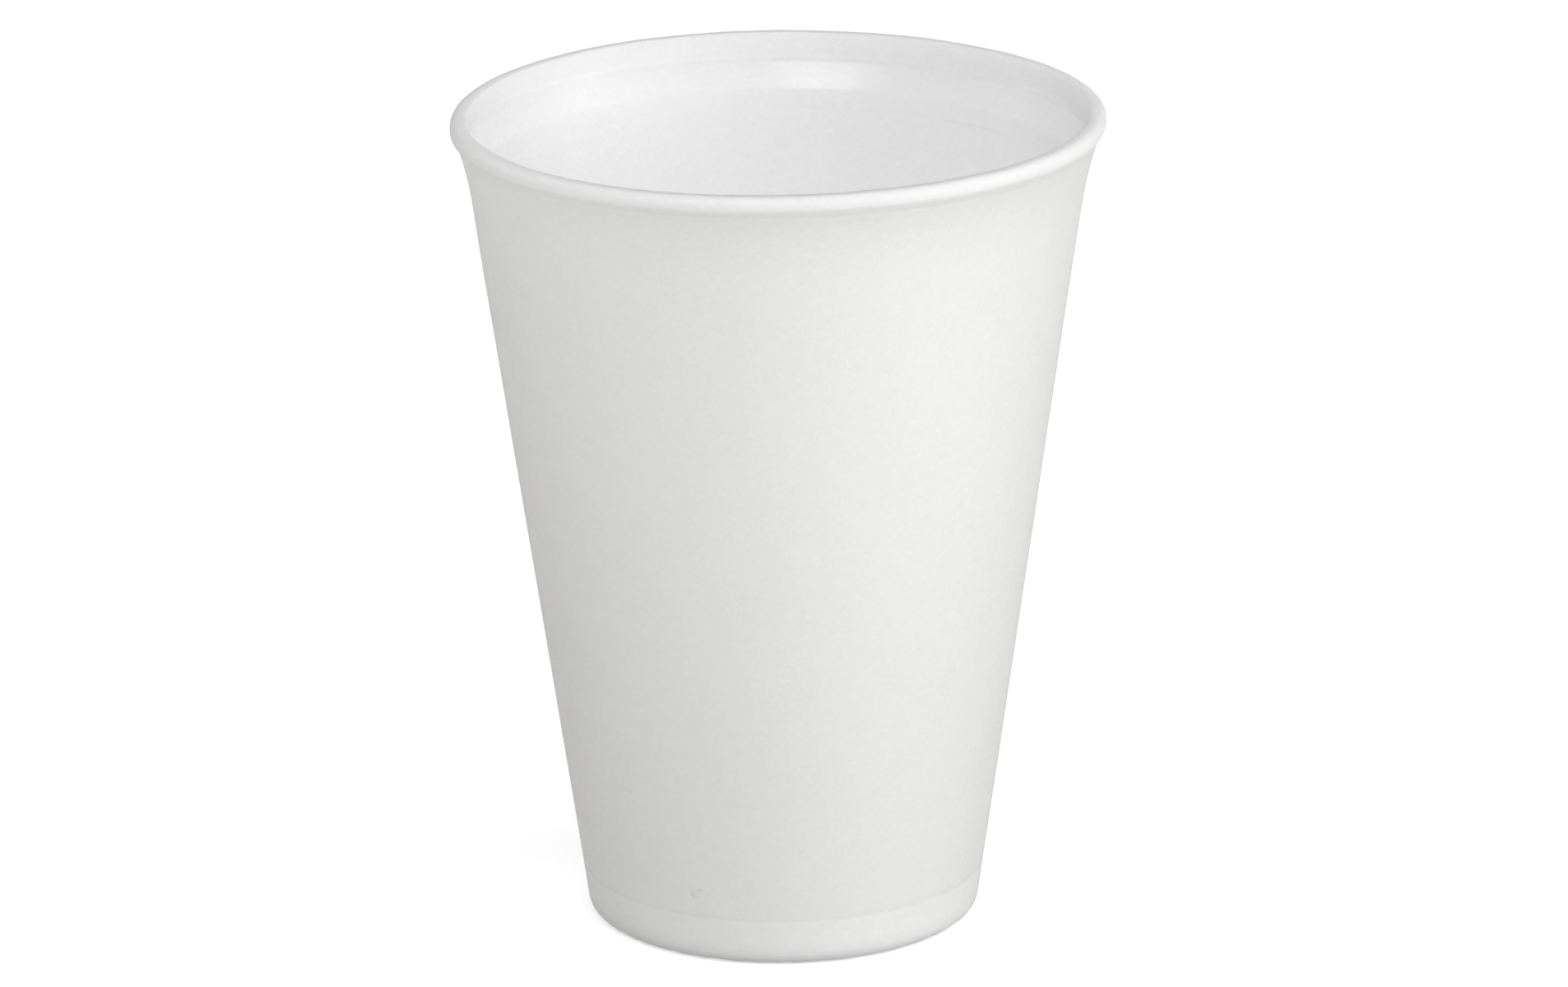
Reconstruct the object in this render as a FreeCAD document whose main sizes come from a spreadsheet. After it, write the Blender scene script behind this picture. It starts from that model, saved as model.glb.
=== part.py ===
import FreeCAD, Part
import math
import os

import Sketcher

# A drinking cup moulded in one piece from expanded polystyrene foam.
# It stands on its foot ring at Z = 0, with its axis on Z. Sizes are in millimetres.

SIZES = [
    # name, value, what it is
    ("cup_height", 113.0, "the ground to the crest of the rim"),
    ("rim_diameter", 89.0, "across the outside of the rim bead"),
    ("foot_diameter", 53.7, "across the foot at the ground, before its edge is rounded"),
    ("rim_overhang", 1.5, "how far the bead stands out past the line of the wall"),
    ("rim_width", 2.45, "thickness of the bead at its flat top, before the edges are rounded"),
    ("rim_side", 1.9, "crest of the rim to the foot of the bead's upright side"),
    ("rim_outer_rounding", 1.1, "radius outside the bead's flat top"),
    ("rim_inner_rounding", 0.45, "radius inside the bead's flat top"),
    ("rim_depth", 3.0, "crest of the rim to the crease under the bead"),
    ("rim_under_rounding", 0.8, "radius between the bead's side and its underside"),
    ("flare_width", 0.8, "how far the wall curves out of its straight line at the crease"),
    ("flare_length", 9.0, "height of the curved stretch of wall under the crease"),
    ("wall_thickness", 2.3, "the wall, measured level"),
    ("ledge_depth", 4.0, "crest of the rim to the upper edge of the stacking ledge"),
    ("ledge_height", 3.5, "upper edge of the stacking ledge to its lower edge"),
    ("ledge_width", 1.65, "how far the stacking ledge steps in"),
    ("ledge_rounding", 0.4, "radius along both edges of the stacking ledge"),
    ("floor_thickness", 2.4, "the floor, between its two faces"),
    ("floor_rounding", 3.0, "radius where the wall meets the floor inside"),
    ("band_height", 7.0, "the ground to the mould line above the foot band"),
    ("band_lean", 0.25, "how far the foot band stands out of the line of the wall at the ground"),
    ("groove_depth", 0.15, "depth of the mould line"),
    ("groove_width", 0.6, "height of the mould line"),
    ("foot_rounding", 2.1, "radius of the outer edge of the foot"),
    ("foot_ring_width", 4.3, "outside of the foot to the edge of the recess"),
    ("recess_depth", 2.0, "the ground to the underside of the floor"),
    ("recess_slope", 0.5, "how far the side of the recess leans in"),
    ("recess_rounding", 0.7, "radius along both edges of the recess"),
]

# Formulas of the spreadsheet's values, which the sketches' constraints use.
RIM_RADIUS = "Sizes.rim_diameter / 2"
FOOT_RADIUS = "Sizes.foot_diameter / 2"
WALL_TOP = f"{RIM_RADIUS} - Sizes.rim_overhang"
WALL_FOOT = f"{FOOT_RADIUS} - Sizes.band_lean"
FLOOR_TOP = "Sizes.recess_depth + Sizes.floor_thickness"
CREASE_HEIGHT = "Sizes.cup_height - Sizes.rim_depth"
FLARE_START_HEIGHT = f"{CREASE_HEIGHT} - Sizes.flare_length"
LEDGE_TOP = "Sizes.cup_height - Sizes.ledge_depth"
LEDGE_BOTTOM = f"{LEDGE_TOP} - Sizes.ledge_height"
GROOVE_BOTTOM = "Sizes.band_height - Sizes.groove_width / 2"
GROOVE_TOP = "Sizes.band_height + Sizes.groove_width / 2"
RECESS_RADIUS = f"{FOOT_RADIUS} - Sizes.foot_ring_width"


def wall_radius(height):
    """Formula for the radius of the straight outer wall at a height."""
    return f"{WALL_FOOT} + ({WALL_TOP} - ({WALL_FOOT})) * ({height}) / Sizes.cup_height"


def bore_radius(height):
    """Formula for the radius of the straight inner wall at a height."""
    return f"{wall_radius(height)} - Sizes.wall_thickness"


# Corners of the cup's half section, in order, each with the formulas for its radius and height.
SECTION = {
    "foot_centre": ("0", "0"),
    "foot_edge": (FOOT_RADIUS, "0"),
    "groove_bottom": (wall_radius(GROOVE_BOTTOM), GROOVE_BOTTOM),
    "groove_root": (f"{wall_radius('Sizes.band_height')} - Sizes.groove_depth", "Sizes.band_height"),
    "groove_top": (wall_radius(GROOVE_TOP), GROOVE_TOP),
    "flare_start": (wall_radius(FLARE_START_HEIGHT), FLARE_START_HEIGHT),
    "crease": (f"{wall_radius(CREASE_HEIGHT)} + Sizes.flare_width", CREASE_HEIGHT),
    "rim_under": (RIM_RADIUS, "Sizes.cup_height - Sizes.rim_side"),
    "rim_outside": (RIM_RADIUS, "Sizes.cup_height"),
    "rim_inside": (f"{RIM_RADIUS} - Sizes.rim_width", "Sizes.cup_height"),
    "ledge_top": (f"{bore_radius(LEDGE_BOTTOM)} + Sizes.ledge_width", LEDGE_TOP),
    "ledge_bottom": (bore_radius(LEDGE_BOTTOM), LEDGE_BOTTOM),
    "floor_edge": (bore_radius(FLOOR_TOP), FLOOR_TOP),
    "floor_centre": ("0", FLOOR_TOP),
}
SECTION_ARCS = ["flare_start"]      # an arc leaves this corner, in line with the edge before

# Half section of what is cut out from under the floor. It starts a little under the ground.
BELOW = "-1"
RECESS = {
    "below_centre": ("0", BELOW),
    "below_edge": (RECESS_RADIUS, BELOW),
    "recess_mouth": (RECESS_RADIUS, "0"),
    "recess_edge": (f"{RECESS_RADIUS} - Sizes.recess_slope", "Sizes.recess_depth"),
    "recess_centre": ("0", "Sizes.recess_depth"),
}

# Corners that are rounded in the sketch, and edges that are rounded on the solid, with each radius.
SECTION_ROUNDINGS = {
    "rim_under": "Sizes.rim_under_rounding",
    "rim_outside": "Sizes.rim_outer_rounding",
    "rim_inside": "Sizes.rim_inner_rounding",
    "ledge_top": "Sizes.ledge_rounding",
    "ledge_bottom": "Sizes.ledge_rounding",
}
EDGE_ROUNDINGS = [
    ("FootRounding", [SECTION["foot_edge"]], "Sizes.foot_rounding"),
    ("RecessRounding", [RECESS["recess_mouth"], RECESS["recess_edge"]], "Sizes.recess_rounding"),
    ("FloorRounding", [SECTION["floor_edge"]], "Sizes.floor_rounding"),
]

START, END = 1, 2       # Sketcher's numbers for the two ends of an edge
ORIGIN = (-1, START)    # and for the sketch's origin
MATCH = 1e-4            # how near an edge lies to its corner, in mm


def make_sizes(doc):
    """Spreadsheet of the driving dimensions: name, value and meaning."""
    sheet = doc.addObject("Spreadsheet::Sheet", "Sizes")
    for row, (name, value, meaning) in enumerate(SIZES, start=1):
        sheet.set(f"A{row}", name)
        sheet.set(f"B{row}", str(value))
        sheet.setAlias(f"B{row}", name)
        sheet.set(f"C{row}", meaning)
    doc.recompute()


def spot(sketch, corner):
    """A corner's place in the sketch, worked out from its two formulas."""
    radius, height = corner
    return FreeCAD.Vector(sketch.evalExpression(radius), sketch.evalExpression(height), 0)


def new_sketch(body, name):
    """Sketch on the body's upright plane, with radius along its X and height along its Y."""
    sketch = body.newObject("Sketcher::SketchObject", name)
    plane = next(item for item in body.Origin.OriginFeatures if item.Role == "XZ_Plane")
    sketch.AttachmentSupport = [(plane, "")]
    sketch.MapMode = "FlatFace"
    return sketch


def arc_from(start, end, direction):
    """Arc from start to end that leaves start in the given direction."""
    chord = end - start
    heading = math.atan2(direction.y, direction.x)
    turn = math.remainder(math.atan2(chord.y, chord.x) - heading, math.tau)
    reach = chord.Length / (2 * math.cos(turn / 2))
    aim = FreeCAD.Vector(math.cos(heading + turn / 2), math.sin(heading + turn / 2), 0)
    return Part.Arc(start, start + aim * reach, end)


def bind_point(sketch, edge, end, name, corner):
    """Hold one end of an edge to its formulas, with two named constraints."""
    place = spot(sketch, corner)
    for kind, label, formula, distance in (
            ("DistanceX", f"{name}_radius", corner[0], place.x),
            ("DistanceY", f"{name}_height", corner[1], place.y)):
        index = sketch.addConstraint(Sketcher.Constraint(kind, *ORIGIN, edge, end, distance))
        sketch.renameConstraint(index, label)
        sketch.setExpression(f"Constraints.{label}", formula)


def draw_outline(sketch, corners, arcs=()):
    """Closed outline through the corners, with an arc after each corner named in arcs."""
    names = list(corners)
    places = [spot(sketch, corners[name]) for name in names]
    count = len(names)
    edges = []
    for i, name in enumerate(names):
        start, end = places[i], places[(i + 1) % count]
        shape = arc_from(start, end, start - places[i - 1]) if name in arcs else Part.LineSegment(start, end)
        edges.append(sketch.addGeometry(shape, False))

    def end_at(i, place):
        """Which end of the edge lies at the place: an arc may run either way."""
        gaps = {end: (sketch.getPoint(edges[i], end) - place).Length for end in (START, END)}
        return min(gaps, key=gaps.get)

    meetings = [(end_at(i - 1, places[i]), end_at(i, places[i])) for i in range(count)]
    for i, name in enumerate(names):
        before, after = meetings[i]
        straight = i - 1 if name in arcs or names[i - 1] not in arcs else i
        bind_point(sketch, edges[straight], before if straight == i - 1 else after, name, corners[name])
    for i, name in enumerate(names):
        before, after = meetings[i]
        kind = "Tangent" if name in arcs else "Coincident"
        sketch.addConstraint(Sketcher.Constraint(kind, edges[i - 1], before, edges[i], after))


def round_corner(sketch, corners, name, radius):
    """Round a corner between two straight edges. The corner's own formulas still hold."""
    edge = list(corners).index(name)
    sketch.fillet(edge, START, sketch.evalExpression(radius), True, True)
    arc = next(i for i in range(sketch.GeometryCount - 1, edge, -1) if not sketch.getConstruction(i))
    index = sketch.addConstraint(Sketcher.Constraint("Radius", arc, sketch.evalExpression(radius)))
    sketch.renameConstraint(index, f"{name}_rounding")
    sketch.setExpression(f"Constraints.{name}_rounding", radius)


def turn_section(body, kind, name, sketch):
    """Revolve a half section a full turn about the cup's axis: a Revolution or a Groove."""
    feature = body.newObject(f"PartDesign::{kind}", name)
    feature.Profile = sketch
    feature.ReferenceAxis = (sketch, ["V_Axis"])
    feature.Angle = 360.0
    body.Document.recompute()
    return feature


def circle_edges(shape, place):
    """Names of the shape's level circular edges that pass through a place in the section."""
    names = []
    for number, edge in enumerate(shape.Edges, start=1):
        curve = edge.Curve
        if not isinstance(curve, Part.Circle):
            continue
        if abs(curve.Radius - place.x) < MATCH and abs(curve.Center.z - place.y) < MATCH:
            names.append(f"Edge{number}")
    return names


def round_edges(body, sketch, name, corners, radius):
    """Fillet the circular edges that corners of a section have become."""
    base = body.Tip
    found = [edge for corner in corners for edge in circle_edges(base.Shape, spot(sketch, corner))]
    if len(found) < len(corners):
        raise RuntimeError(f"{name}: an edge is missing")
    fillet = body.newObject("PartDesign::Fillet", name)
    fillet.Base = (base, found)
    fillet.setExpression("Radius", radius)
    body.Document.recompute()


def make_cup(doc):
    """The cup: a turned shell, a recess under its floor, and its rounded edges."""
    body = doc.addObject("PartDesign::Body", "cup")
    body.Label = "cup"

    section = new_sketch(body, "Section")
    draw_outline(section, SECTION, SECTION_ARCS)
    for name, radius in SECTION_ROUNDINGS.items():
        round_corner(section, SECTION, name, radius)
    shell = turn_section(body, "Revolution", "Shell", section)

    recess_section = new_sketch(body, "RecessSection")
    draw_outline(recess_section, RECESS)
    recess = turn_section(body, "Groove", "Recess", recess_section)
    if recess.Shape.Volume >= shell.Shape.Volume:
        raise RuntimeError("the recess cut nothing")

    for name, corners, radius in EDGE_ROUNDINGS:
        round_edges(body, section, name, corners, radius)
    body.Placement = FreeCAD.Placement()
    return body


def check(doc, parts):
    """Stop if any object failed or a part isn't one sound solid."""
    for item in doc.Objects:
        if "Invalid" in item.State or "Error" in item.State:
            raise RuntimeError(f"{item.Name} failed: {item.State}")
    for part in parts:
        shape = part.Shape
        if shape.isNull() or not shape.isValid() or len(shape.Solids) != 1:
            raise RuntimeError(f"{part.Label} isn't one sound solid")


def main():
    doc = FreeCAD.newDocument("FoamCup")
    make_sizes(doc)
    parts = [make_cup(doc)]
    doc.recompute()
    check(doc, parts)
    os.makedirs("parts", exist_ok=True)
    for part in parts:
        part.Shape.exportStep(os.path.join("parts", f"{part.Label}.step"))
        print(f"{part.Label}: {part.Shape.Volume / 1000:.2f} cm3")


main()
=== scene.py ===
import math
import typing

import bmesh
import bpy
from mathutils import Matrix, Vector


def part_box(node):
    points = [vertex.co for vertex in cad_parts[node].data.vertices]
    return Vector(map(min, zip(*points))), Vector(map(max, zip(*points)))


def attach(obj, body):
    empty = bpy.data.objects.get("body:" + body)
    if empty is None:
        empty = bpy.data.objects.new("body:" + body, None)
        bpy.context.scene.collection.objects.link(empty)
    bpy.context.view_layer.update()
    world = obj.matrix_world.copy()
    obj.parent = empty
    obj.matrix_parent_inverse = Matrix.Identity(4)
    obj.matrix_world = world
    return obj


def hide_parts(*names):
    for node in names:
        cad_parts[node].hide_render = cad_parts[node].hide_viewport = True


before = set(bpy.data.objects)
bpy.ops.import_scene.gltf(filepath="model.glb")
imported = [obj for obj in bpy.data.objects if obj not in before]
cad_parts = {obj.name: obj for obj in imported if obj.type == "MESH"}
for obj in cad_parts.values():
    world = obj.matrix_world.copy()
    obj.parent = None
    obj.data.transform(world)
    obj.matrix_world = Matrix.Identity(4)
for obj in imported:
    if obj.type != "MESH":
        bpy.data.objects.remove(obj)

bl_info = {
    "name": "Foam Cup",
    "version": (1, 0, 0),
    "blender": (4, 5, 0),
    "location": "3D View > Sidebar > Foam Cup",
    "description": "Turns a foam drinking cup from its half section, and sets the stage for it",
    "category": "Object",
}

# A drinking cup moulded from expanded polystyrene foam. It stands on Z = 0 with its axis on Z,
# and is looked at from -Y. Sizes are in metres, and places on the cup are given by an angle
# round the axis, from +X towards +Y, and a height.

MM = 0.001
CUP_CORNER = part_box("cup")[1]
CUP_HEIGHT = CUP_CORNER.z
RIM_DIAMETER = 2 * CUP_CORNER.x


def length(label, text, millimetres):
    """A size of the cup that a user may change, given in millimetres."""
    return bpy.props.FloatProperty(
        name=label, description=text, default=millimetres * MM, min=0.0, precision=5,
        unit="LENGTH", subtype="DISTANCE")


def number(label, text, default):
    """A number without a unit that a user may change."""
    return bpy.props.FloatProperty(name=label, description=text, default=default, min=0.0)


class FoamCupSizes(bpy.types.PropertyGroup):
    """Sizes of the cup's half section, and how uneven the moulded foam is."""
    cup_height: length("Height", "Ground to the crest of the rim", CUP_HEIGHT / MM)
    rim_diameter: length("Rim diameter", "Across the outside of the rim bead", RIM_DIAMETER / MM)
    foot_diameter: length("Foot diameter", "Across the foot, before its edge is rounded", 53.3)
    rim_overhang: length("Rim overhang", "How far the bead stands out past the line of the wall", 1.5)
    rim_width: length("Rim width", "Thickness of the rim bead", 2.45)
    rim_side: length("Rim side", "Crest of the rim to the foot of the bead's upright side", 1.9)
    rim_outer_rounding: length("Rim outer rounding", "Radius outside the bead's flat top", 1.1)
    rim_inner_rounding: length("Rim inner rounding", "Radius inside the bead's flat top", 0.45)
    rim_depth: length("Rim depth", "Crest of the rim to the crease under the bead", 3.0)
    rim_under_rounding: length("Rim under rounding", "Radius under the bead's side", 0.8)
    crease_rounding: length("Crease rounding", "Radius in the crease under the bead", 0.35)
    flare_width: length("Flare width", "How far the wall curves out at the crease", 0.8)
    flare_length: length("Flare length", "Height of the curved wall under the crease", 9.0)
    wall_thickness: length("Wall thickness", "The wall, measured level", 2.3)
    ledge_depth: length("Ledge depth", "Crest of the rim to the stacking ledge's upper edge", 4.0)
    ledge_height: length("Ledge height", "The stacking ledge's upper edge to its lower edge", 3.5)
    ledge_width: length("Ledge width", "How far the stacking ledge steps in", 1.65)
    ledge_rounding: length("Ledge rounding", "Radius along the stacking ledge's edges", 0.4)
    seam_depth: length("Inner seam place", "The ledge's lower edge to the inner mould line", 2.85)
    seam_groove: length("Inner seam groove", "Depth of the inner mould line", 0.05)
    floor_thickness: length("Floor thickness", "The floor, between its two faces", 2.4)
    floor_rounding: length("Floor rounding", "Radius where the wall meets the floor", 3.0)
    band_height: length("Band height", "Ground to the mould line above the foot band", 7.0)
    band_lean: length("Band lean", "How far the foot band stands out at the ground", 0.05)
    groove_depth: length("Mould line depth", "Depth of the mould line above the foot band", 0.07)
    groove_width: length("Mould line width", "Height of the mould line above the foot band", 0.6)
    foot_rounding: length("Foot rounding", "Radius of the outer edge of the foot", 2.1)
    foot_ring_width: length("Foot ring width", "Outside of the foot to the recess", 4.3)
    recess_depth: length("Recess depth", "Ground to the underside of the floor", 2.0)
    recess_slope: length("Recess slope", "How far the side of the recess leans in", 0.5)
    recess_rounding: length("Recess rounding", "Radius along the recess's edges", 0.7)
    rim_lean: length("Rim lean", "How far the mouth sits off the axis", 0.22)
    rim_drop: length("Rim drop", "How much lower the rim's lowest side is", 0.5)
    rim_lump: length("Rim lumps", "Depth of the uneven places along the rim", 0.16)
    wall_lump: length("Wall lumps", "Depth of the shallow waves of the wall", 0.1)
    foot_lump: length("Foot lumps", "Depth of the worn places along the foot's edge", 0.32)
    bead_relief: length("Bead relief", "Depth between the fused foam beads", 0.02)
    segments: bpy.props.IntProperty(
        name="Segments", description="Steps round the cup", default=288, min=12, max=720)


class FoamCupFinish(bpy.types.PropertyGroup):
    """Colour and grain of the foam."""
    foam_colour: bpy.props.FloatVectorProperty(
        name="Foam colour", description="Colour of the clean foam", subtype="COLOR",
        size=3, min=0.0, max=1.0, default=(0.95, 0.95, 0.95))
    bead_size: length("Bead size", "Width of one fused foam bead", 0.85)
    light_reach: length("Light reach", "How far light spreads inside the foam", 5.5)
    roughness: number("Roughness", "Roughness of the foam's skin", 0.27)
    rim_roughness: number("Rim roughness", "Roughness of the skin on the rim bead", 0.5)
    # Painted shade: the rim bead's colour is darkened where it catches less light than the walls.
    rim_painted_shade: number("Rim shade", "How much darker the rim bead is than the walls", 0.04)
    seam_shade: number("Seam shade", "How much darker the foam is between beads", 0.025)
    bead_dome: length("Bead dome", "Height of a bead over its seams", 0.013)
    grain_relief: length("Grain relief", "Height of the skin's fine grain", 0.012)
    # Painted shade: a dark band along the mould line stands in for the shade in its groove.
    line_painted_shade: number("Mould line shade", "How much darker the foam is along the foot's mould line", 0.05)


# ---- half section ----

WALL_STEP = 0.9 * MM        # spacing of the section's points along the outer wall
BORE_STEP = 1.15 * MM       # and along the inner wall
FLOOR_STEP = 2.2 * MM       # and along the floor
FINE_STEP = 0.3 * MM        # and where the section turns
FLARE_STEPS = 8             # points along the wall's curve under the crease
ARC_STEP = math.radians(12)     # most that a rounded corner turns from point to point


def arc_points(before, corner, after, radius):
    """Points of the arc that rounds a corner, from the edge before it to the edge after it."""
    back = (before - corner).normalized()
    onward = (after - corner).normalized()
    half = back.angle(onward) / 2
    centre = corner + (back + onward).normalized() * radius / math.sin(half)
    start = corner + back * radius / math.tan(half) - centre
    turn = math.pi - 2 * half
    if back.x * onward.y - back.y * onward.x > 0:
        turn = -turn
    steps = max(2, math.ceil(abs(turn) / ARC_STEP))
    return [centre + Matrix.Rotation(turn * i / steps, 2) @ start for i in range(steps + 1)]


def rounded_outline(corners):
    """Points along an outline of (place, rounding, spacing of the run that follows)."""
    stretches = []
    for i, (place, rounding, _) in enumerate(corners):
        if rounding:
            stretches.append(arc_points(corners[i - 1][0], place, corners[i + 1][0], rounding))
        else:
            stretches.append([place])
    points = []
    for stretch, following, (_, _, step) in zip(stretches, stretches[1:], corners):
        points += stretch
        start, end = stretch[-1], following[0]
        count = max(1, round((end - start).length / step))
        points += [start.lerp(end, i / count) for i in range(1, count)]
    return points + stretches[-1]


def half_section(cup):
    """The cup's outline from its axis under the floor, up the outside and down the inside."""
    rim = cup.rim_diameter / 2 - cup.rim_lean
    foot = cup.foot_diameter / 2
    wall_foot = foot - cup.band_lean
    wall_top = cup.rim_diameter / 2 - cup.rim_overhang
    crease = cup.cup_height - cup.rim_depth
    ledge_top = cup.cup_height - cup.ledge_depth
    ledge_bottom = ledge_top - cup.ledge_height
    floor_top = cup.recess_depth + cup.floor_thickness
    recess = foot - cup.foot_ring_width

    def wall(height):
        return wall_foot + (wall_top - wall_foot) * height / cup.cup_height

    def bore(height):
        return wall(height) - cup.wall_thickness

    def groove(line, radius_at, depth, width):
        """A V-shaped mould line across a wall."""
        return [(radius_at(line + side * width / 2) - inset, line + side * width / 2)
                for side, inset in ((-1, 0.0), (0, depth), (1, 0.0))]

    def flare():
        """Points along the wall's curve outwards below the crease."""
        for i in range(FLARE_STEPS):
            along = i / FLARE_STEPS
            height = crease - cup.flare_length * (1 - along)
            yield wall(height) + cup.flare_width * along ** 2, height

    corners = []

    def corner(radius, height, rounding=0.0, step=FINE_STEP):
        corners.append((Vector((radius, height)), rounding, step))

    corner(0.0, cup.recess_depth, step=FLOOR_STEP)
    corner(recess - cup.recess_slope, cup.recess_depth, cup.recess_rounding)
    corner(recess, 0.0, cup.recess_rounding)
    corner(foot, 0.0, cup.foot_rounding, WALL_STEP)
    low, root, high = groove(cup.band_height, wall, cup.groove_depth, cup.groove_width)
    corner(*low)
    corner(*root)
    corner(*high, step=WALL_STEP)
    for place in flare():
        corner(*place, step=WALL_STEP)
    corner(wall(crease) + cup.flare_width, crease, cup.crease_rounding)
    corner(rim, cup.cup_height - cup.rim_side, cup.rim_under_rounding)
    corner(rim, cup.cup_height, cup.rim_outer_rounding)
    corner(rim - cup.rim_width, cup.cup_height, cup.rim_inner_rounding)
    corner(bore(ledge_bottom) + cup.ledge_width - cup.rim_lean, ledge_top, cup.ledge_rounding)
    corner(bore(ledge_bottom), ledge_bottom, cup.ledge_rounding)
    seam = ledge_bottom - cup.seam_depth
    low, root, high = groove(seam, bore, -cup.seam_groove, cup.groove_width)
    corner(*high)
    corner(*root)
    corner(*low, step=BORE_STEP)
    corner(bore(floor_top), floor_top, cup.floor_rounding, FLOOR_STEP)
    corner(0.0, floor_top)
    return rounded_outline(corners)


# ---- node helpers ----

def add_node(tree, kind, inputs=None, **settings):
    """A node with its settings, and with each input linked or set, by name or number."""
    node = tree.nodes.new(kind)
    for name, value in settings.items():
        setattr(node, name, value)
    for name, value in (inputs or {}).items():
        if isinstance(value, bpy.types.NodeSocket):
            tree.links.new(value, node.inputs[name])
        else:
            node.inputs[name].default_value = value
    return node


def calculate(tree, operation, *values):
    """Result of a Math node."""
    return add_node(tree, "ShaderNodeMath", dict(enumerate(values)), operation=operation).outputs[0]


def vector_math(tree, operation, *values):
    """Result of a Vector Math node that gives a vector."""
    settings = {i if operation != "SCALE" or i == 0 else "Scale": value
                for i, value in enumerate(values)}
    return add_node(tree, "ShaderNodeVectorMath", settings, operation=operation).outputs[0]


def ramp(tree, value, low, high, start=0.0, end=1.0):
    """A smooth change from start to end as the value goes from low to high."""
    node = add_node(
        tree, "ShaderNodeMapRange",
        {"Value": value, "From Min": low, "From Max": high, "To Min": start, "To Max": end},
        interpolation_type="SMOOTHSTEP")
    return node.outputs["Result"]


def darken(tree, tone, where, amount):
    """A tone that is less by the amount where the mask is 1."""
    return calculate(tree, "SUBTRACT", tone, calculate(tree, "MULTIPLY", where, amount))


def noise(tree, place, size, detail=1.0, seed=0.0):
    """Noise from 0 to 1 whose waves are about as wide as size."""
    shifted = vector_math(tree, "ADD", place, (seed, seed * 0.7, -seed))
    node = add_node(tree, "ShaderNodeTexNoise",
                    {"Vector": shifted, "Scale": 1 / size, "Detail": detail})
    return node.outputs[0]


# ---- the cup ----

TURNING_INPUTS = [
    # name in the tree, socket, property of FoamCupSizes
    ("Segments", "NodeSocketInt", "segments"),
    ("Rim height", "NodeSocketFloat", "cup_height"),
    ("Rim lean", "NodeSocketFloat", "rim_lean"),
    ("Rim drop", "NodeSocketFloat", "rim_drop"),
    ("Rim lumps", "NodeSocketFloat", "rim_lump"),
    ("Wall lumps", "NodeSocketFloat", "wall_lump"),
    ("Foot lumps", "NodeSocketFloat", "foot_lump"),
    ("Bead relief", "NodeSocketFloat", "bead_relief"),
]
MOUTH_START = 22 * MM       # how far under the rim its lean and drop begin
RIM_ZONE = 4 * MM           # how far under the rim its lumps reach
FOOT_ZONE = 2.5 * MM        # how far above the ground the foot's lumps reach
DROP_ANGLE = math.radians(200)      # where round the axis the rim is lowest
DROP_POWER = 1.5            # how soon the drop fades away from there
WALL_WAVE = 16 * MM         # width of the wall's shallow waves
BEAD_WAVE = 2.2 * MM        # width of the uneven places from bead to bead
RIM_WAVE = 5 * MM           # width of the rim's lumps
FOOT_WAVE = 1.9 * MM        # width of the worn places along the foot
SEAM_MERGE = 1e-6           # how near points are that close the turned mesh


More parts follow.
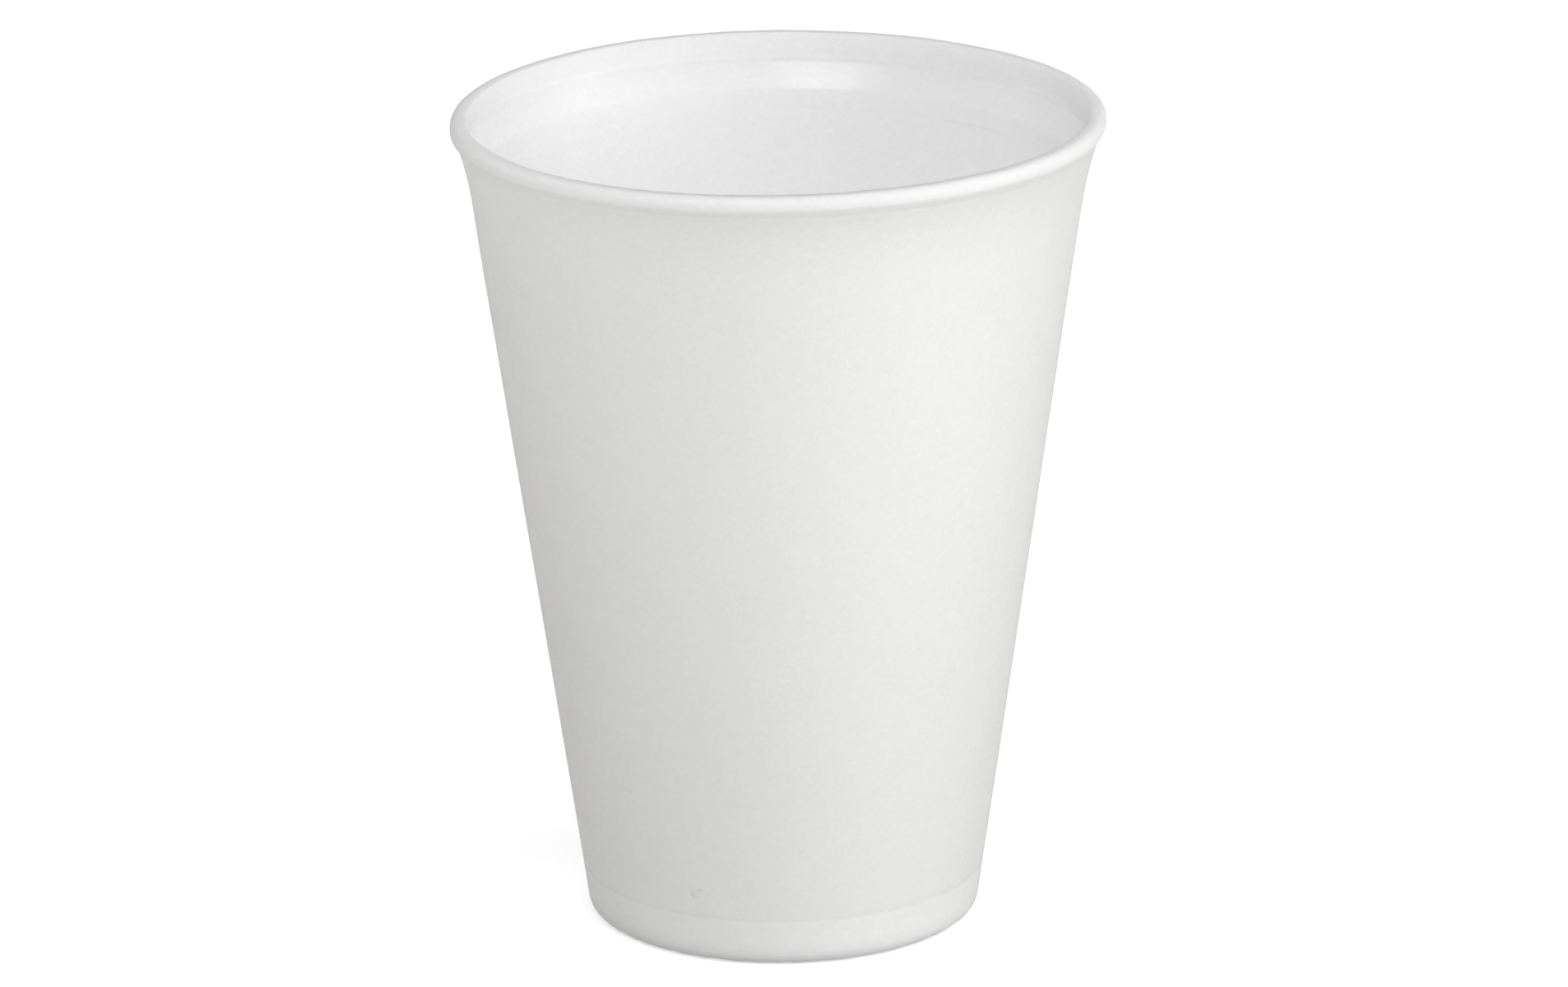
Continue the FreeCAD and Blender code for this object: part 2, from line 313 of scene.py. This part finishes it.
def turning_tree():
    """Geometry nodes that turn a half section into a closed, slightly uneven cup."""
    tree = bpy.data.node_groups.new("Turned foam cup", "GeometryNodeTree")
    socket = tree.interface.new_socket
    socket("Section", in_out="INPUT", socket_type="NodeSocketGeometry")
    for name, kind, _ in TURNING_INPUTS:
        socket(name, in_out="INPUT", socket_type=kind)
    socket("Foam", in_out="INPUT", socket_type="NodeSocketMaterial")
    socket("Cup", in_out="OUTPUT", socket_type="NodeSocketGeometry")
    given = add_node(tree, "NodeGroupInput").outputs

    # A grid with a row for each point of the section and a column for each step round the axis.
    size = add_node(tree, "GeometryNodeAttributeDomainSize", {0: given["Section"]}, component="MESH")
    columns = calculate(tree, "ADD", given["Segments"], 1.0)
    grid = add_node(tree, "GeometryNodeMeshGrid",
                    {"Vertices X": size.outputs["Point Count"], "Vertices Y": columns})
    index = add_node(tree, "GeometryNodeInputIndex").outputs[0]
    middle = calculate(tree, "ADD", index, 0.5)
    row = calculate(tree, "FLOOR", calculate(tree, "DIVIDE", middle, columns))
    column = calculate(tree, "SUBTRACT", index, calculate(tree, "MULTIPLY", row, columns))
    turn = calculate(tree, "DIVIDE", column, given["Segments"])
    angle = calculate(tree, "MULTIPLY", turn, math.tau)
    position = add_node(tree, "GeometryNodeInputPosition").outputs[0]
    sample = add_node(tree, "GeometryNodeSampleIndex",
                      {"Geometry": given["Section"], "Value": position, "Index": row},
                      data_type="FLOAT_VECTOR", domain="POINT")
    section = add_node(tree, "ShaderNodeSeparateXYZ", {0: sample.outputs[0]}).outputs
    turned = add_node(tree, "ShaderNodeCombineXYZ", {
        "X": calculate(tree, "MULTIPLY", section["X"], calculate(tree, "COSINE", angle)),
        "Y": calculate(tree, "MULTIPLY", section["X"], calculate(tree, "SINE", angle)),
        "Z": section["Z"]}).outputs[0]
    shell = add_node(tree, "GeometryNodeSetPosition", {"Geometry": grid.outputs[0], "Position": turned})
    outward = add_node(tree, "GeometryNodeFlipFaces", {0: shell.outputs[0]})
    closed = add_node(tree, "GeometryNodeMergeByDistance",
                      {"Geometry": outward.outputs[0], "Distance": SEAM_MERGE})

    # The mouth leans to +X and drops on its other side.
    place = add_node(tree, "ShaderNodeSeparateXYZ", {0: position}).outputs
    under_rim = calculate(tree, "SUBTRACT", given["Rim height"], place["Z"])
    mouth = ramp(tree, under_rim, MOUTH_START, 0.0)
    round_axis = calculate(tree, "ARCTAN2", place["Y"], place["X"])
    facing = calculate(tree, "COSINE", calculate(tree, "SUBTRACT", round_axis, DROP_ANGLE))
    lowness = calculate(tree, "POWER", calculate(tree, "MAXIMUM", facing, 0.0), DROP_POWER)
    drop = calculate(tree, "MULTIPLY", calculate(tree, "MULTIPLY", given["Rim drop"], mouth), lowness)
    shift = add_node(tree, "ShaderNodeCombineXYZ", {
        "X": calculate(tree, "MULTIPLY", given["Rim lean"], mouth),
        "Z": calculate(tree, "MULTIPLY", drop, -1.0)}).outputs[0]
    leaned = add_node(tree, "GeometryNodeSetPosition", {"Geometry": closed.outputs[0], "Offset": shift})

    # The skin sinks in here and there, most of all along the rim and the foot.
    rim_zone = ramp(tree, under_rim, RIM_ZONE, 0.0)
    foot_zone = ramp(tree, place["Z"], FOOT_ZONE, 0.0)
    depths = [
        calculate(tree, "MULTIPLY", given["Wall lumps"], noise(tree, position, WALL_WAVE, 1.0)),
        calculate(tree, "MULTIPLY", given["Bead relief"], noise(tree, position, BEAD_WAVE, 2.0)),
        calculate(tree, "MULTIPLY", calculate(tree, "MULTIPLY", given["Rim lumps"], rim_zone),
                  noise(tree, position, RIM_WAVE, 1.0, seed=0.3)),
        calculate(tree, "MULTIPLY", calculate(tree, "MULTIPLY", given["Foot lumps"], foot_zone),
                  noise(tree, position, FOOT_WAVE, 2.0, seed=0.6)),
    ]
    depth = depths[0]
    for more in depths[1:]:
        depth = calculate(tree, "ADD", depth, more)
    normal = add_node(tree, "GeometryNodeInputNormal").outputs[0]
    sunk = vector_math(tree, "SCALE", normal, calculate(tree, "MULTIPLY", depth, -1.0))
    uneven = add_node(tree, "GeometryNodeSetPosition", {"Geometry": leaned.outputs[0], "Offset": sunk})

    smooth = add_node(tree, "GeometryNodeSetShadeSmooth", {"Geometry": uneven.outputs[0]})
    real = add_node(tree, "GeometryNodeRealizeInstances", {"Geometry": smooth.outputs[0]})
    painted = add_node(tree, "GeometryNodeSetMaterial",
                       {"Geometry": real.outputs[0], "Material": given["Foam"]})
    add_node(tree, "NodeGroupOutput", {"Cup": painted.outputs[0]})
    return tree


def plain_mesh(piece):
    """Apply a piece's modifiers, so that only its finished mesh is left."""
    depsgraph = bpy.context.evaluated_depsgraph_get()
    mesh = bpy.data.meshes.new_from_object(piece.evaluated_get(depsgraph))
    mesh.materials.pop(index=0)     # the empty first slot that node meshes have
    piece.modifiers.clear()
    piece.data = mesh
    mesh.name = piece.name


def turn_cup(cup, material):
    """The cup's mesh object, turned from its half section."""
    points = half_section(cup)
    line = bpy.data.meshes.new("foam_cup_section")
    places = [(point.x, 0.0, point.y) for point in points]
    line.from_pydata(places, [(i, i + 1) for i in range(len(points) - 1)], [])
    piece = bpy.data.objects.new("foam_cup", line)
    bpy.context.scene.collection.objects.link(piece)
    modifier = piece.modifiers.new("Turn", "NODES")
    tree = turning_tree()
    modifier.node_group = tree
    sockets = {item.name: item.identifier for item in tree.interface.items_tree
               if item.in_out == "INPUT"}
    for name, _, prop in TURNING_INPUTS:
        modifier[sockets[name]] = getattr(cup, prop)
    modifier[sockets["Foam"]] = material
    plain_mesh(piece)
    return piece


# ---- the foam ----

class Mark(typing.NamedTuple):
    """A small blemish on a wall: an ellipse, which may be slanted and bent like a comma."""
    angle: float        # round the axis, in degrees
    height: float       # above the ground
    width: float        # along the wall
    tall: float         # up the wall
    shade: float        # lighter above 0, darker below it
    dent: float         # how deep it is
    inside: bool = False
    slant: float = 0.0      # degrees
    bend: float = 0.0       # how far its ends bend sideways, as a share of its width


MARKS = [
    Mark(-116.3, 10.1 * MM, 0.7 * MM, 1.9 * MM, -0.16, 0.12 * MM, bend=-1.3),
    Mark(-114.9, 10.0 * MM, 0.8 * MM, 0.8 * MM, 0.06, -0.08 * MM),
    Mark(-113.8, 10.8 * MM, 1.0 * MM, 0.6 * MM, -0.12, 0.09 * MM),
    Mark(-122.0, 51.4 * MM, 0.6 * MM, 0.8 * MM, -0.05, 0.03 * MM),
    Mark(-84.6, 30.1 * MM, 0.55 * MM, 0.55 * MM, -0.05, 0.03 * MM),
    Mark(-102.6, 56.0 * MM, 0.5 * MM, 0.6 * MM, -0.04, 0.03 * MM),
    Mark(-129.2, 103.4 * MM, 0.55 * MM, 0.7 * MM, 0.04, -0.03 * MM),
    Mark(50.5, 102.7 * MM, 9.4 * MM, 0.36 * MM, -0.04, 0.05 * MM, inside=True, slant=1.0),
    Mark(41.5, 102.75 * MM, 6.4 * MM, 0.36 * MM, -0.04, 0.05 * MM, inside=True, slant=-1.0),
]
MARK_REACH = 1.0 * MM       # how far off the wall's line a mark is still felt
MARK_CORE = 0.4             # how much of a mark has its full strength, as a share of its size


def mark_group(cup):
    """Node group that gives the marks' shade and how deep they are, from a place on the cup."""
    group = bpy.data.node_groups.new("Foam marks", "ShaderNodeTree")
    group.interface.new_socket("Place", in_out="INPUT", socket_type="NodeSocketVector")
    group.interface.new_socket("Shade", in_out="OUTPUT", socket_type="NodeSocketFloat")
    group.interface.new_socket("Dent", in_out="OUTPUT", socket_type="NodeSocketFloat")
    place = add_node(group, "NodeGroupInput").outputs[0]
    wall_top = cup.rim_diameter / 2 - cup.rim_overhang
    wall_foot = cup.foot_diameter / 2 - cup.band_lean
    shade = dent = 0.0
    for mark in MARKS:
        radius = wall_foot + (wall_top - wall_foot) * mark.height / cup.cup_height
        radius -= cup.wall_thickness if mark.inside else 0.0
        turn = math.radians(mark.angle)
        local = add_node(group, "ShaderNodeMapping", {
            "Vector": place,
            "Location": (radius * math.cos(turn), radius * math.sin(turn), mark.height),
            "Rotation": (0.0, math.radians(mark.slant), turn + math.pi / 2),
            "Scale": (mark.width / 2, MARK_REACH, mark.tall / 2)}, vector_type="TEXTURE")
        x, y, z = add_node(group, "ShaderNodeSeparateXYZ", {0: local.outputs[0]}).outputs
        bow = calculate(group, "MULTIPLY", calculate(group, "MULTIPLY", z, z), mark.bend)
        bent = add_node(group, "ShaderNodeCombineXYZ", {0: calculate(group, "ADD", x, bow), 1: y, 2: z})
        far = add_node(group, "ShaderNodeVectorMath", {0: bent.outputs[0]}, operation="LENGTH")
        mask = ramp(group, far.outputs["Value"], 1.0, MARK_CORE)
        shade = calculate(group, "MULTIPLY_ADD", mask, mark.shade, shade)
        dent = calculate(group, "MULTIPLY_ADD", mask, mark.dent, dent)
    add_node(group, "NodeGroupOutput", {"Shade": shade, "Dent": dent})
    return group


GRAIN_SIZE = 0.35 * MM
MOTTLE_SIZE = 7 * MM
WANDER = 0.8                # how often a bead's outline bends, along its width
SEAM_WIDTH = 0.09           # how wide the seams are, as a share of a bead
FAINTEST_SEAM = 0.35        # how much of a seam is left where it is faintest
UNEVEN_TONES = {"bead": 0.02, "mottle": 0.02, "grain": 0.03}     # most that each changes the tone
DOME_SHARE = 0.25           # how much a bead domes, as a share of how deep its seams are
LINE_SHADE_REACH = 0.6            # how far the mould line's painted shade spreads, as a share of its width
RIM_BLEND = 0.2             # how softly the rim bead's duller skin and painted shade end, as a share of its depth
FOAM_IOR = 1.45


def foam_material(finish, cup):
    """White foam of fused beads, with a satin skin."""
    material = bpy.data.materials.new("foam_skin")
    material.use_nodes = True
    tree = material.node_tree
    tree.nodes.clear()
    place = add_node(tree, "ShaderNodeTexCoord").outputs["Object"]

    # Beads: cells of uneven outline, divided by fine seams.
    wander = add_node(tree, "ShaderNodeTexNoise", {"Vector": place, "Scale": WANDER / finish.bead_size})
    aside = vector_math(tree, "SUBTRACT", wander.outputs["Color"], (0.5, 0.5, 0.5))
    bent = vector_math(tree, "ADD", place, vector_math(tree, "SCALE", aside, finish.bead_size))
    cell = {"Vector": bent, "Scale": 1 / finish.bead_size}
    beads = add_node(tree, "ShaderNodeTexVoronoi", cell, feature="F1")
    edges = add_node(tree, "ShaderNodeTexVoronoi", cell, feature="DISTANCE_TO_EDGE")
    seams = ramp(tree, edges.outputs["Distance"], SEAM_WIDTH, 0.0)
    bead_tone = add_node(tree, "ShaderNodeSeparateXYZ", {0: beads.outputs["Color"]}).outputs["X"]
    grain = noise(tree, place, GRAIN_SIZE, 2.0)
    mottle = noise(tree, place, MOTTLE_SIZE, 2.0, seed=0.2)
    clearness = ramp(tree, mottle, 0.35, 0.65, FAINTEST_SEAM, 1.0)
    clear_seams = calculate(tree, "MULTIPLY", seams, clearness)

    # Colour: a little darker in the seams, and not quite even from bead to bead.
    tone = darken(tree, 1.0, clear_seams, finish.seam_shade)
    for name, pattern in (("bead", bead_tone), ("mottle", mottle), ("grain", grain)):
        uneven = calculate(tree, "SUBTRACT", pattern, 0.5)
        tone = calculate(tree, "MULTIPLY_ADD", uneven, UNEVEN_TONES[name], tone)
    marks = add_node(tree, "ShaderNodeGroup", node_tree=mark_group(cup))
    tree.links.new(place, marks.inputs[0])
    tone = calculate(tree, "ADD", tone, marks.outputs["Shade"])

    # Painted shade along the mould line, where its groove is shaded, and painted shade on the rim bead,
    # which catches less light than the walls; the rim bead's skin is duller too.
    height = add_node(tree, "ShaderNodeSeparateXYZ", {0: place}).outputs["Z"]
    # Painted shade: a dark band along the mould line, where the groove's shade falls.
    off_line = calculate(tree, "ABSOLUTE", calculate(tree, "SUBTRACT", height, cup.band_height))
    line = ramp(tree, off_line, cup.groove_width * LINE_SHADE_REACH, 0.0)
    tone = darken(tree, tone, line, finish.line_painted_shade)
    # Painted shade: the rim bead is darkened where it catches less light; its skin is also rougher.
    rim = ramp(tree, height, cup.cup_height - (1 + RIM_BLEND) * cup.rim_depth,
               cup.cup_height - (1 - RIM_BLEND) * cup.rim_depth)
    tone = darken(tree, tone, rim, finish.rim_painted_shade)
    colour = vector_math(tree, "SCALE", tuple(finish.foam_colour), tone)
    roughness = calculate(tree, "MULTIPLY_ADD", rim, finish.rim_roughness - finish.roughness,
                          finish.roughness)

    # Relief: sunk seams, slightly domed beads, and a fine grain.
    dome = calculate(tree, "MULTIPLY", beads.outputs["Distance"], -DOME_SHARE)
    relief = calculate(tree, "SUBTRACT", dome, clear_seams)
    relief = calculate(tree, "MULTIPLY", relief, finish.bead_dome)
    relief = calculate(tree, "MULTIPLY_ADD", grain, finish.grain_relief, relief)
    relief = calculate(tree, "SUBTRACT", relief, marks.outputs["Dent"])
    bump = add_node(tree, "ShaderNodeBump", {"Height": relief, "Distance": 1.0})

    # Light enters the foam and spreads in it before it comes out.
    skin = add_node(tree, "ShaderNodeBsdfPrincipled", {
        "Base Color": colour, "Roughness": roughness, "IOR": FOAM_IOR, "Normal": bump.outputs[0],
        "Subsurface Weight": 1.0, "Subsurface Radius": (1.0, 1.0, 1.0),
        "Subsurface Scale": finish.light_reach})
    add_node(tree, "ShaderNodeOutputMaterial", {"Surface": skin.outputs[0]})
    return material


# ---- the stage ----

CAMERA_PLACE = Vector((0.0, -1.23016, 0.44143))
CAMERA_TURN = 0.000444      # radians to the right of +Y
CAMERA_TILT = 0.301457      # radians below level
CAMERA_ROLL = -0.009553     # radians about the line of sight
CAMERA_LENS = 217.2         # mm
SENSOR_WIDTH = 36.0         # mm

BACKDROP_RADIUS = 4.0
BACKDROP_CURVE = 1.5        # radius of the bend between the floor and the dome
BACKDROP_GLOW = 0.45        # light of its own, so that it looks white all over
BACKDROP_TONE = 0.95
SHADE_RADIUS = 29.5 * MM    # a little more than the foot's
SHADE_DEPTH = 0.3 * MM      # how far under the floor the disc lies, so that it shades only the cup
SHADE_TONE = 0.6
MATT = 0.9                  # roughness of the stage's materials
ROUND_STEPS = 96            # steps round the backdrop and the disc
GROUND_LIGHT = 0.62         # strength of the even light from below the horizon
GROUND_TINT = (1.0, 0.99, 0.975)
LIGHT_DISTANCE = 1.6
LIGHTS = [
    # name, azimuth and elevation in degrees, width, watts, whether it is mirrored in the skin
    ("light_front", 10, 47, 1.4, 10.3, False),
    ("light_window", -18, 36, 0.7, 8.4, True),
    ("light_right_front", 45, 30, 1.4, 4.5, False),
    ("light_right", 80, 30, 1.2, 7.7, False),
    ("light_right_low", 80, 10, 0.6, 4.8, True),
    ("light_back", 180, 50, 1.2, 4.2, False),
    ("light_left_back", -110, 30, 1.0, 3.1, True),
]


def stage_material(name, tone):
    """An even grey or white material for the stage."""
    material = bpy.data.materials.new(name)
    material.use_nodes = True
    shader = material.node_tree.nodes["Principled BSDF"]
    shader.inputs["Base Color"].default_value = (tone, tone, tone, 1.0)
    shader.inputs["Roughness"].default_value = MATT
    return material


def make_backdrop():
    """A plain white floor that curves up into a wide dome, so that it is white behind every view."""
    edge = BACKDROP_RADIUS - BACKDROP_CURVE
    corners = [
        (Vector((0.0, 0.0)), 0.0, edge),
        (Vector((BACKDROP_RADIUS, 0.0)), BACKDROP_CURVE, 1.0),
        (Vector((BACKDROP_RADIUS, BACKDROP_RADIUS)), edge, 1.0),
        (Vector((0.0, BACKDROP_RADIUS)), 0.0, 1.0),
    ]
    shell = bmesh.new()
    points = [shell.verts.new((p.x, 0.0, p.y)) for p in rounded_outline(corners)]
    edges = [shell.edges.new(pair) for pair in zip(points, points[1:])]
    bmesh.ops.spin(shell, geom=points + edges, cent=(0, 0, 0), axis=(0, 0, 1), angle=math.tau,
                   steps=ROUND_STEPS, use_merge=True)
    bmesh.ops.remove_doubles(shell, verts=shell.verts, dist=1e-4)
    for face in shell.faces:
        face.smooth = True
    mesh = bpy.data.meshes.new("backdrop")
    shell.to_mesh(mesh)
    shell.free()
    white = stage_material("backdrop_white", BACKDROP_TONE)
    shader = white.node_tree.nodes["Principled BSDF"]
    shader.inputs["Specular IOR Level"].default_value = 0.0
    shader.inputs["Emission Color"].default_value = (1.0, 1.0, 1.0, 1.0)
    shader.inputs["Emission Strength"].default_value = BACKDROP_GLOW
    mesh.materials.append(white)
    backdrop = bpy.data.objects.new("backdrop", mesh)
    bpy.context.scene.collection.objects.link(backdrop)
    # The world lights the cup from below instead, more softly than a floor as white as this would.
    backdrop.visible_diffuse = False
    backdrop.visible_glossy = False
    backdrop.visible_transmission = False
    backdrop.visible_shadow = False


def make_ground_shade():
    """A grey disc under the foot, unseen by the camera, that shades the foot as a floor would."""
    disc = bmesh.new()
    bmesh.ops.create_circle(disc, cap_ends=True, radius=SHADE_RADIUS, segments=ROUND_STEPS)
    bmesh.ops.translate(disc, vec=(0.0, 0.0, -SHADE_DEPTH), verts=disc.verts)
    mesh = bpy.data.meshes.new("ground_shade")
    disc.to_mesh(mesh)
    disc.free()
    mesh.materials.append(stage_material("ground_shade_grey", SHADE_TONE))
    shade = bpy.data.objects.new("ground_shade", mesh)
    bpy.context.scene.collection.objects.link(shade)
    shade.visible_camera = False
    shade.visible_glossy = False


def make_light(name, azimuth, elevation, width, watts, mirrored):
    """A soft square light aimed at the cup. Azimuth is from -Y towards +X."""
    light = bpy.data.lights.new(name, "AREA")
    light.shape = "SQUARE"
    light.size = width
    light.energy = watts
    lamp = bpy.data.objects.new(name, light)
    bpy.context.scene.collection.objects.link(lamp)
    turn, rise = math.radians(azimuth), math.radians(elevation)
    direction = Vector((
        math.sin(turn) * math.cos(rise), -math.cos(turn) * math.cos(rise), math.sin(rise)))
    centre = Vector((0.0, 0.0, CUP_HEIGHT / 2))
    lamp.location = centre + direction * LIGHT_DISTANCE
    lamp.rotation_euler = direction.to_track_quat("Z", "Y").to_euler()
    lamp.visible_glossy = mirrored


def make_camera():
    """The camera, looking down a little at the cup."""
    camera = bpy.data.objects.new("camera", bpy.data.cameras.new("camera"))
    bpy.context.scene.collection.objects.link(camera)
    camera.data.sensor_width = SENSOR_WIDTH
    camera.data.lens = CAMERA_LENS
    camera.data.clip_start = 0.05
    camera.data.clip_end = 50.0
    turn = Matrix.Rotation(-CAMERA_TURN, 4, "Z")
    tilt = Matrix.Rotation(math.pi / 2 - CAMERA_TILT, 4, "X")
    roll = Matrix.Rotation(CAMERA_ROLL, 4, "Z")
    camera.matrix_world = Matrix.Translation(CAMERA_PLACE) @ turn @ tilt @ roll
    bpy.context.scene.camera = camera


def make_world():
    """Even light from below the horizon, as a pale floor gives back."""
    world = bpy.data.worlds.new("studio")
    world.use_nodes = True
    tree = world.node_tree
    direction = add_node(tree, "ShaderNodeTexCoord").outputs["Generated"]
    height = add_node(tree, "ShaderNodeSeparateXYZ", {0: direction}).outputs["Z"]
    below = calculate(tree, "LESS_THAN", height, 0.0)
    background = tree.nodes["Background"]
    background.inputs["Color"].default_value = (*GROUND_TINT, 1.0)
    tree.links.new(calculate(tree, "MULTIPLY", below, GROUND_LIGHT), background.inputs["Strength"])
    bpy.context.scene.world = world


# ---- operators, panel and main ----

class FOAMCUP_OT_cup(bpy.types.Operator):
    """Turn the foam cup from its half section"""
    bl_idname = "foam_cup.cup"
    bl_label = "Foam cup"

    def execute(self, context):
        scene = context.scene
        sizes = scene.foam_cup_sizes
        piece = turn_cup(sizes, foam_material(scene.foam_cup_finish, sizes))
        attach(piece, "root")
        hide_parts("cup")
        return {"FINISHED"}


class FOAMCUP_OT_stage(bpy.types.Operator):
    """Set up the floor, the lights and the camera"""
    bl_idname = "foam_cup.stage"
    bl_label = "Stage"

    def execute(self, context):
        make_backdrop()
        make_ground_shade()
        make_world()
        for light in LIGHTS:
            make_light(*light)
        make_camera()
        context.scene.view_settings.view_transform = "Standard"
        return {"FINISHED"}


class FOAMCUP_PT_panel(bpy.types.Panel):
    """The foam cup's sizes, finish and operators"""
    bl_idname = "FOAMCUP_PT_panel"
    bl_label = "Foam Cup"
    bl_space_type = "VIEW_3D"
    bl_region_type = "UI"
    bl_category = "Foam Cup"

    def draw(self, context):
        for group in (context.scene.foam_cup_sizes, context.scene.foam_cup_finish):
            box = self.layout.box()
            for name in group.__annotations__:
                box.prop(group, name)
        for operator in (FOAMCUP_OT_cup, FOAMCUP_OT_stage):
            self.layout.operator(operator.bl_idname)


CLASSES = (FoamCupSizes, FoamCupFinish, FOAMCUP_OT_cup, FOAMCUP_OT_stage, FOAMCUP_PT_panel)


def register():
    for item in CLASSES:
        bpy.utils.register_class(item)
    bpy.types.Scene.foam_cup_sizes = bpy.props.PointerProperty(type=FoamCupSizes)
    bpy.types.Scene.foam_cup_finish = bpy.props.PointerProperty(type=FoamCupFinish)


def unregister():
    del bpy.types.Scene.foam_cup_finish
    del bpy.types.Scene.foam_cup_sizes
    for item in reversed(CLASSES):
        bpy.utils.unregister_class(item)


def main():
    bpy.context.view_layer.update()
    register()
    bpy.ops.foam_cup.cup()
    bpy.ops.foam_cup.stage()


if __name__ == "__main__":
    main()
